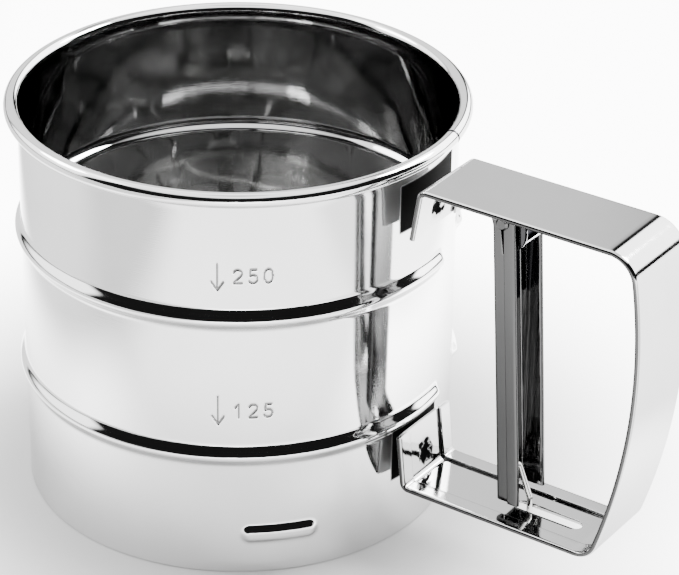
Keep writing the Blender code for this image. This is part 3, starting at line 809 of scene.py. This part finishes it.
def cup_wall():
    """The cup's one sheet: wall, beads, pockets, marks, roll and folded foot, with the link's hole."""
    azimuth, radius, height, outside_rows = cup_grid()
    points = on_cylinder(azimuth, radius, height)
    normals = grid_normals(points)
    across = np.broadcast_to(azimuth * CUP_RADIUS, height.shape)
    up = height - LINK_RUN_Z
    far = np.maximum(np.abs(across), np.abs(up))
    in_hole = far <= LINK_HOLE_RADIUS + HOLE_SLACK
    edge = in_hole & (far >= LINK_HOLE_RADIUS - HOLE_SLACK)
    pull = np.where(edge, LINK_HOLE_RADIUS / np.maximum(np.hypot(across, up), HOLE_SLACK), 1.0)
    rounded = on_cylinder(across * pull / CUP_RADIUS, radius, LINK_RUN_Z + up * pull)
    points = np.where(edge[..., None], rounded, points)
    index = np.arange(height.size).reshape(height.shape)
    right = np.roll(index, -1, 0)
    quads = np.stack([index, right, np.roll(right, -1, 1), np.roll(index, -1, 1)], axis=-1)
    beside = in_hole & np.roll(in_hole, -1, 0)
    holed = beside & np.roll(beside, -1, 1)
    faces = np.array(quads[~holed].tolist() + hole_lining(index, edge, across, up, outside_rows))
    used = np.unique(faces)
    faces = np.searchsorted(used, faces).tolist()
    normals = normals.reshape(-1, 3)[used].tolist()
    wall = mesh_piece("cup_wall", (points.reshape(-1, 3)[used], faces), normals=normals)
    finish_piece(wall, "polished_steel", "root", "cup_shell")
    # The inner faces get a darker copy of the cup's steel: painted shade inside the cup
    repaint(wall, "cup_inside_painted_shade", faces_inward)
    # Painted shade in the grooves of the level marks
    repaint(wall, "mark_groove_shade", in_mark_shade)
    repaint(wall, "shade_and_joint_black", on_rim_joint)


def hole_lining(index, edge, across, up, outside_rows):
    """Faces that join the hole's edge on the outside to its edge on the inside."""
    loops = []
    for outside in (True, False):
        found = []
        for column, row in zip(*np.nonzero(edge)):
            if (row < outside_rows) == outside:
                turn = math.atan2(up[column, row], across[column, row])
                found.append((turn, int(index[column, row])))
        loops.append([vertex for turn, vertex in sorted(found)])
    outer, inner = loops
    count = len(outer)
    return [(outer[k], inner[k], inner[(k + 1) % count], outer[(k + 1) % count]) for k in range(count)]


def faces_inward(centre, normal):
    return (centre[0] * normal[0] + centre[1] * normal[1] < 0) & (centre[2] < RIM_CENTRE[1])


def in_mark_shade(centre, normal):
    azimuth = np.arctan2(centre[1], centre[0])
    outside = centre[0] * normal[0] + centre[1] * normal[1] > 0
    return outside & (mark_distance(azimuth, centre[2]) < MARK_SHADE_HALF)


def on_rim_joint(centre, normal):
    from_joint = angle_between(np.arctan2(centre[1], centre[0]), RIM_JOINT) * CUP_RADIUS
    return (from_joint < RIM_JOINT_DARK_HALF) & (centre[2] > RIM_CENTRE[1] - RIM_ROLL)


# ---------------- screen

def woven_wires(along_x):
    """Half of the plain weave: wires along X that go over and under those along Y, or the reverse."""
    count = int(SCREEN_EDGE / SCREEN_PITCH)
    half_pitch = SCREEN_PITCH / 2
    short, clear_of_end = 0.2, 0.3
    vertices, faces = [], []
    for number in range(-count, count + 1):
        offset = number * SCREEN_PITCH
        half = math.sqrt(SCREEN_EDGE ** 2 - offset ** 2) - short
        spans = [(-half, half)]
        if abs(offset) < PIVOT_CLEAR:
            clear = math.sqrt(PIVOT_CLEAR ** 2 - offset ** 2)
            spans = [(-half, -clear), (clear, half)]
        for low, high in spans:
            first = math.ceil(low / half_pitch + clear_of_end)
            last = math.floor(high / half_pitch - clear_of_end)
            if last < first:
                continue
            places = np.concatenate([[low], np.arange(first, last + 1) * half_pitch, [high]])
            phase = number if along_x else number + 1
            heights = SCREEN_Z + SCREEN_WIRE * np.cos(math.pi * (places / SCREEN_PITCH + phase))
            add_wire(vertices, faces, places, heights, offset, along_x)
    return vertices, faces


def add_wire(vertices, faces, places, heights, offset, along_x):
    """One square-sided wire of the screen."""
    start = len(vertices)
    for place, z in zip(places, heights):
        for side, rise in ((SCREEN_WIRE, 0), (0, SCREEN_WIRE), (-SCREEN_WIRE, 0), (0, -SCREEN_WIRE)):
            across = offset + side
            vertices.append((place, across, z + rise) if along_x else (across, place, z + rise))
    last = start + 4 * (len(places) - 1)
    for ring_start in range(start, last, 4):
        for side in range(4):
            after = (side + 1) % 4
            quad = (ring_start + side, ring_start + 4 + side, ring_start + 4 + after, ring_start + after)
            faces.append(quad[::-1] if along_x else quad)
    ends = [tuple(range(start, start + 4)), tuple(range(last + 3, last - 1, -1))]
    faces += ends if not along_x else [end[::-1] for end in ends]


def screen():
    for name, along_x, nodes in (("screen_warp", True, ("mesh_screen",)), ("screen_weft", False, ())):
        wires = mesh_piece(name, woven_wires(along_x), 80)
        finish_piece(wires, "woven_steel", "root", *nodes)


def in_pocket(azimuth):
    """1 at the azimuths of the cup's pockets, with slopes, and 0 elsewhere."""
    edges = ((POCKET_HALF - angle_between(azimuth, pocket)) * CUP_RADIUS for pocket in POCKET_AZIMUTHS)
    return max(float(slope(edge, RING_TAB_SLOPE)) for edge in edges)


def ring():
    """U-shaped ring that is crimped over the screen's edge, with tabs in the cup's pockets."""
    web = RING_OUTER - RING_SHEET
    half = RING_SHEET / 2
    low, high = RING_Z, RING_TOP

    def profile(azimuth):
        outer = RING_OUTER + RING_TAB * in_pocket(azimuth)
        outline = arc((outer - RING_SOFT, low + RING_SOFT), RING_SOFT, -math.pi / 2, 0, 3)
        outline += arc((outer - RING_SOFT, high - RING_SOFT), RING_SOFT, 0, math.pi / 2, 3)
        outline += arc((RING_INNER + half, high - half), half, math.pi / 2, 1.5 * math.pi, 6)
        outline += [(web, high - RING_SHEET), (web, low + RING_SHEET)]
        outline += arc((RING_INNER + half, low + half), half, math.pi / 2, 1.5 * math.pi, 6)
        return outline

    item = mesh_piece("screen_ring", turned(profile, 240))
    finish_piece(item, "pressed_steel", "root", "mesh_ring")


# ---------------- handle

def corner_radius(corner, start, lean):
    """Radius of the fillet that begins where the grip's curve ends."""
    return math.dist(corner, start) / math.tan((math.pi / 2 - lean) / 2)


def strap_path():
    """Outer face of the strap, from the lower plate round the grip to the upper plate."""
    lean_in = (GRIP_BULGE[1][0] - GRIP_BOTTOM[0]) / (GRIP_BULGE[1][1] - GRIP_BOTTOM[1])
    lean_out = (GRIP_BULGE[0][0] - GRIP_TOP[0]) / (GRIP_TOP[1] - GRIP_BULGE[0][1])
    foot_corner = (GRIP_BOTTOM[0] - lean_in * (GRIP_BOTTOM[1] - STRAP_BOTTOM), STRAP_BOTTOM)
    top_corner = (GRIP_TOP[0] - lean_out * (STRAP_TOP - GRIP_TOP[1]), STRAP_TOP)
    grip = bezier((GRIP_BOTTOM, GRIP_TOP), GRIP_BULGE[::-1], 48)
    bottom = filleted([LOWER_PLATE, (LOWER_PLATE_BEND_X, STRAP_BOTTOM), foot_corner, grip[1]],
                      (PLATE_BEND, corner_radius(foot_corner, GRIP_BOTTOM, math.atan(lean_in))), 14)
    top = filleted([grip[-2], top_corner, (UPPER_PLATE_BEND_X, STRAP_TOP), UPPER_PLATE],
                   (corner_radius(top_corner, GRIP_TOP, math.atan(lean_out)), PLATE_BEND), 14)
    return spaced(bottom[:-1] + grip[1:-1] + top[1:], STRAP_STEP)


def strap_section():
    """The folded sheet across the strap: (depth, y), outer face at depth 0."""
    fold = STRAP_EDGE / 2
    lip = STRAP_SKIN / 2
    gap = STRAP_SKIN + STRAP_HEM_GAP
    step = 0.7
    side = [(0.0, step * number) for number in range(1, 14)]
    side += [(fold - fold * math.cos(a), STRAP_HALF - fold + fold * math.sin(a))
             for a in np.linspace(0, math.pi, 11)]
    side += [(STRAP_EDGE, y) for y in (9.2, 8.4, 7.6)]
    side += [(STRAP_EDGE - lip + lip * math.cos(a), STRAP_HEM_EDGE + lip - lip * math.sin(a))
             for a in np.linspace(0, math.pi, 7)]
    side += [(gap, 8.0), (gap, STRAP_HEM_ROOT), (STRAP_SKIN, STRAP_HEM_ROOT), (STRAP_SKIN, 8.0)]
    side += [(STRAP_SKIN, step * number) for number in range(9, 0, -1)]
    return [(0.0, 0.0)] + side + [(STRAP_SKIN, 0.0)] + [(depth, -y) for depth, y in reversed(side)]


def weld_press(y, x, z):
    """Spot welds pull the plates' middle towards the wall."""
    if x > PLATES_END_X:
        return 0.0
    depth = 0.0
    for weld_y, weld_z in WELD_DENTS:
        depth -= WELD_DENT_DEPTH * float(hump(math.hypot(y - weld_y, z - weld_z), WELD_DENT_REACH))
    return depth


def strap():
    item = mesh_piece("handle", strip(strap_section(), strap_path(), weld_press), 50)
    start, end = SLOT_ENDS
    slot = stadium((start + SLOT_WIDTH / 2, 0), (end - SLOT_WIDTH / 2, 0), SLOT_WIDTH / 2)
    carve(item, [slab(slot, STRAP_BOTTOM - 2, STRAP_BOTTOM + 4)])
    finish_piece(item, "polished_steel", "root", "handle_strap", look="strap_steel")

    # The sideways faces of the folded edges get painted shade, the dark line along each fold
    def shaded_fold_sides(centre, normal):
        return (abs(centre[1]) > STRAP_HALF - STRAP_EDGE / 2) & (abs(normal[1]) > 0.75)

    def behind_plates(centre, normal):
        return (centre[0] < UPPER_PLATE_BEND_X + 1) & (normal[0] < -0.6)

    repaint(item, "painted_shade_steel", shaded_fold_sides)
    repaint(item, "rough_steel", behind_plates)


# ---------------- trigger, spring and link

def web_x(z):
    """Where the trigger's leaning web is at a height."""
    (top_x, top_z), (bottom_x, bottom_z) = TRIGGER_WEB_TOP, TRIGGER_WEB_BOTTOM
    return top_x + (top_z - z) * ((bottom_x - top_x) / (top_z - bottom_z))


def trigger_section():
    """The channel's folded section, as (depth, y) from the web's face."""
    half, sheet, depth, bend = TRIGGER_HALF, TRIGGER_SHEET, TRIGGER_DEPTH, TRIGGER_BEND
    inner = half - sheet
    inner_bend = 0.3
    hem_low, hem_high = TRIGGER_HEM_SIDES
    hem_root = depth - 1.1
    lip = (hem_high - hem_low) / 2
    fold = (hem_high - inner) / 2
    side = [(0.0, y) for y in (1.5, 3.0, 4.2)]
    side += [(bend - bend * math.cos(a), half - bend + bend * math.sin(a))
             for a in np.linspace(0, math.pi / 2, 7)]
    side += [(2.2, half), (depth - TRIGGER_HEM, half), (hem_root, half), (hem_root, hem_low)]
    side += [(depth - TRIGGER_HEM + lip - lip * math.sin(a), (hem_low + hem_high) / 2 - lip * math.cos(a))
             for a in np.linspace(0, math.pi, 6)]
    side += [(depth - 1.6, hem_high)]
    side += [(depth - fold + fold * math.sin(a), (hem_high + inner) / 2 + fold * math.cos(a))
             for a in np.linspace(0, math.pi, 10)]
    side += [(depth - 2.0, inner), (2.0, inner)]
    side += [(sheet + inner_bend - inner_bend * math.sin(a), inner - inner_bend + inner_bend * math.cos(a))
             for a in np.linspace(0, math.pi / 2, 4)]
    side += [(sheet, 3.0), (sheet, 1.5)]
    return [(0.0, 0.0)] + side + [(sheet, 0.0)] + [(d, -y) for d, y in reversed(side)]


def trigger():
    """Pressed channel with its free edges folded outwards; the web's top flares towards the cup."""
    top_z, bottom_z = TRIGGER_WEB_TOP[1], TRIGGER_WEB_BOTTOM[1]
    section = trigger_section()
    rings = []
    for z in np.linspace(bottom_z, top_z, 90):
        flare = TRIGGER_FLARE * max(0.0, (z - top_z + TRIGGER_FLARE_HEIGHT) / TRIGGER_FLARE_HEIGHT) ** 2
        ring_points = []
        for depth, y in section:
            share = flare * max(0.0, 1 - depth / TRIGGER_FLARE_DEPTH)
            ring_points.append((web_x(z) + depth - share, y, z))
        rings.append(ring_points)
    item = mesh_piece("trigger_channel", skinned(rings), 45)
    outer = TRIGGER_HALF + 1.5
    recess = 0.15 - TRIGGER_HALF
    cutters = [slab(circle(HINGE, HINGE_BORE_RADIUS), -outer, outer, "y"),
               slab(stadium(HOOK, HOOK_SLOT_END, HOOK_SLOT_RADIUS), recess, 0, "y"),
               slab(CREASE, -outer, -CREASE_FROM_Y, "y"),
               slab(CREASE, CREASE_FROM_Y, outer, "y")]
    carve(item, cutters)
    # The trigger gets a darker copy of the steel as painted shade; its channel and the web's face towards the
    # cup get deeper painted shade
    finish_piece(item, "polished_steel", "trigger", "trigger", look="painted_shade_steel")

    def shaded_channel(centre, normal):
        between_sides = abs(centre[1]) < TRIGGER_HALF - TRIGGER_SHEET + 0.05
        return (between_sides & (centre[0] > web_x(centre[2]) + 0.5)) | (normal[0] < -0.7)

    repaint(item, "painted_deep_shade_steel", shaded_channel)


def spring():
    """Flat hairpin spring whose upper leg lies under the bar and whose lower leg lies along the trigger's
    web.
    """
    radius = CURL_RADIUS - SPRING_SHEET / 2
    curl = arc(CURL_CENTRE, radius, math.pi / 2, CURL_END, 36)
    from_web = TRIGGER_SHEET + SPRING_GAP + SPRING_SHEET / 2
    ends = [curl[-1]] + [(web_x(z) + from_web, z) for z in (SPRING_MEETS_WEB_Z, SPRING_END_Z)]
    path = [(SPRING_START_X, CURL_CENTRE[1] + radius)] + curl + filleted(ends, (2.5,), 10)[1:]
    half, wide, soft = SPRING_SHEET / 2, SPRING_HALF, SPRING_SOFT
    section = []
    for turn, (depth, y) in enumerate(((half, wide), (-half, wide), (-half, -wide), (half, -wide))):
        centre = (depth - math.copysign(soft, depth), y - math.copysign(soft, y))
        section += arc(centre, soft, turn * math.pi / 2, (turn + 1) * math.pi / 2, 3)
    item = mesh_piece("hairpin_spring", strip(section, spaced(path, 0.8)), 50)
    finish_piece(item, "spring_steel", None, "return_spring")

    # Painted shade on the spring's broad faces in the channel; the lower lip of the curl is left out and
    # stays bright where it catches light
    def shaded_faces(centre, normal):
        lit_lip = (centre[2] > CURL_CENTRE[1] - CURL_RADIUS) & (normal[0] > 0) & (normal[2] < -0.3)
        return (abs(normal[1]) < 0.5) & ~lit_lip

    repaint(item, "shade_and_joint_black", shaded_faces)
    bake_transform(item)


def link():
    """Wire from the trigger's near side, down through the bar's slot and into the cup."""
    pin_x, pin_y = -LINK_TRAVEL / 2, -CRANK_RADIUS
    leg_x, leg_top = LINK_LEG
    corners = [(HOOK[0], 0.1 - TRIGGER_HALF, HOOK[1]), (HOOK[0], 0, HOOK[1]), (leg_x, 0, leg_top),
               (leg_x, 0, LINK_RUN_Z), (LINK_STRAIGHT_END, 0, LINK_RUN_Z),
               (LINK_RAISED, 0, LINK_INNER_Z), (-pin_x, pin_y, LINK_INNER_Z),
               (pin_x, pin_y, LINK_INNER_Z), (pin_x, pin_y, LINK_END_Z)]
    item = mesh_piece("link_wire", tube(filleted(corners, LINK_BENDS, 12), WIRE_RADIUS), 60)
    finish_piece(item, "wire_steel", "link", "link_rod")


# ---------------- small parts

def softened(node, body, slot):
    """A small part of the model again, with its sharp edges rounded."""
    shape = bmesh.new()
    shape.from_mesh(frame["nodes"][node].data)
    sharp = [edge for edge in shape.edges if edge.calc_face_angle(0.0) > SOFT_ANGLE]
    bmesh.ops.bevel(shape, geom=sharp, offset=SOFT_RADIUS * MM, offset_type="OFFSET", segments=2, profile=0.5,
                    affect="EDGES", clamp_overlap=True)
    mesh = bpy.data.meshes.new(f"{node}_soft")
    shape.to_mesh(mesh)
    shape.free()
    mesh.shade_smooth()
    mesh.set_sharp_from_angle(angle=SOFT_ANGLE)
    finish_piece(new_object(f"{node}_soft", mesh), slot, body, node, look=LOOKS.get(node))


def small_parts():
    slots = {part["node"]: part["material_slot"] for part in frame["record"]["subparts"]}
    for body, nodes in SMALL_PARTS.items():
        for node in nodes:
            softened(node, body, slots[node])


# ---------------- studio

def along(tree, vector, heading):
    """How far a vector reaches along a level heading, in degrees from +X."""
    turn = math.radians(heading)
    ahead = (math.cos(turn), math.sin(turn), 0)
    return node(tree, "VectorMath", "Value", {0: vector, 1: ahead}, operation="DOT_PRODUCT")


def floor_material():
    """Pale floor with painted light: it glows behind and beside the object, and fades to a painted contact
    shadow under it and to painted shade at the front.
    """
    material = bpy.data.materials.new("studio_floor")
    material.use_nodes = True
    tree = material.node_tree
    centre = {0: node(tree, "TexCoord", "Object"), 1: (CUP_X * MM, 0, 0)}
    place = node(tree, "VectorMath", "Vector", centre, operation="SUBTRACT")
    reach = node(tree, "VectorMath", "Value", {0: place}, operation="LENGTH")
    forward = along(tree, place, FRONT)
    sideways = along(tree, place, FRONT + 90)
    glows = ((reach, PAINTED_CONTACT_SHADOW), (forward, GLOW_TO_FRONT), (forward, GLOW_FAR_FRONT),
             (sideways, GLOW_TO_LEFT), (sideways, GLOW_TO_RIGHT))
    glow = combined(tree, "MULTIPLY", *(smooth(tree, value, *limits) for value, limits in glows))
    feed(tree, tree.nodes["Principled BSDF"], {
        "Base Color": (FLOOR_SHADE, FLOOR_SHADE, FLOOR_SHADE, 1), "Roughness": 0.9,
        "Specular IOR Level": 0.0, "Emission Color": (1, 1, 1, 1), "Emission Strength": glow,
    })
    return material


def studio_floor():
    material = floor_material()
    mesh = bpy.data.meshes.new("studio_floor")
    corners = [(x * FLOOR_HALF, y * FLOOR_HALF, 0) for x, y in ((-1, -1), (1, -1), (1, 1), (-1, 1))]
    mesh.from_pydata(corners, [], [(0, 1, 2, 3)])
    mesh.materials.append(material)
    floor = new_object("studio_floor", mesh)


def studio_sky():
    """Dark surroundings with soft panels, placed by heading and elevation."""
    world = bpy.data.worlds.new("studio")
    world.use_nodes = True
    tree = world.node_tree
    place = node(tree, "TexCoord", "Generated")
    x, y, z = (node(tree, "SeparateXYZ", axis, {"Vector": place}) for axis in "XYZ")
    turn = node(tree, "Math", "Value", {0: y, 1: x}, operation="ARCTAN2")
    rise = node(tree, "Math", "Value", {0: z}, operation="ARCSINE")
    light = node(tree, "Value", "Value")
    light.default_value = SKY_DARK
    for headings, elevations, brightness, soft in SKY_PANELS:
        across = window(tree, turn, *(math.radians(angle) for angle in (*headings, soft)))
        upward = window(tree, rise, *(math.radians(angle) for angle in (*elevations, soft)))
        light = combined(tree, "ADD", light, combined(tree, "MULTIPLY", across, upward, brightness))
    feed(tree, tree.nodes["Background"], {"Color": (1, 1, 1, 1), "Strength": light})
    bpy.context.scene.world = world


def direction(heading, elevation):
    return Vector((math.cos(heading) * math.cos(elevation), math.sin(heading) * math.cos(elevation),
                   math.sin(elevation)))


def lamp(name, heading, elevation, power):
    """A soft disk lamp that looks at the object from a heading and elevation in degrees."""
    light = bpy.data.lights.new(name, "AREA")
    light.shape = "DISK"
    light.size = LAMP_SIZE
    light.energy = power
    item = new_object(name, light)
    item.location = direction(math.radians(heading), math.radians(elevation)) * LAMP_DISTANCE
    item.rotation_euler = (-item.location).to_track_quat("-Z", "Y").to_euler()


def camera():
    data = bpy.data.cameras.new("camera")
    data.lens = CAMERA_LENS
    data.sensor_width = 36.0
    data.clip_start = 0.05
    item = new_object("camera", data)
    target = Vector(CAMERA_TARGET) + Vector((CUP_X, 0, 0))
    offset = direction(CAMERA_AZIMUTH, CAMERA_ELEVATION) * CAMERA_DISTANCE
    item.location = (target + offset) * MM
    turn = (-offset).to_track_quat("-Z", "Y").to_matrix()
    item.rotation_euler = (turn @ Matrix.Rotation(CAMERA_ROLL, 3, "Z")).to_euler()
    bpy.context.scene.camera = item


# ---------------- the whole scene

camera()
studio_floor()
studio_sky()
for lamp_name, lamp_settings in LAMPS.items():
    lamp(lamp_name, *lamp_settings)

FINISHES = finishes()
cup_wall()
screen()
ring()
strap()
trigger()
spring()
link()
small_parts()
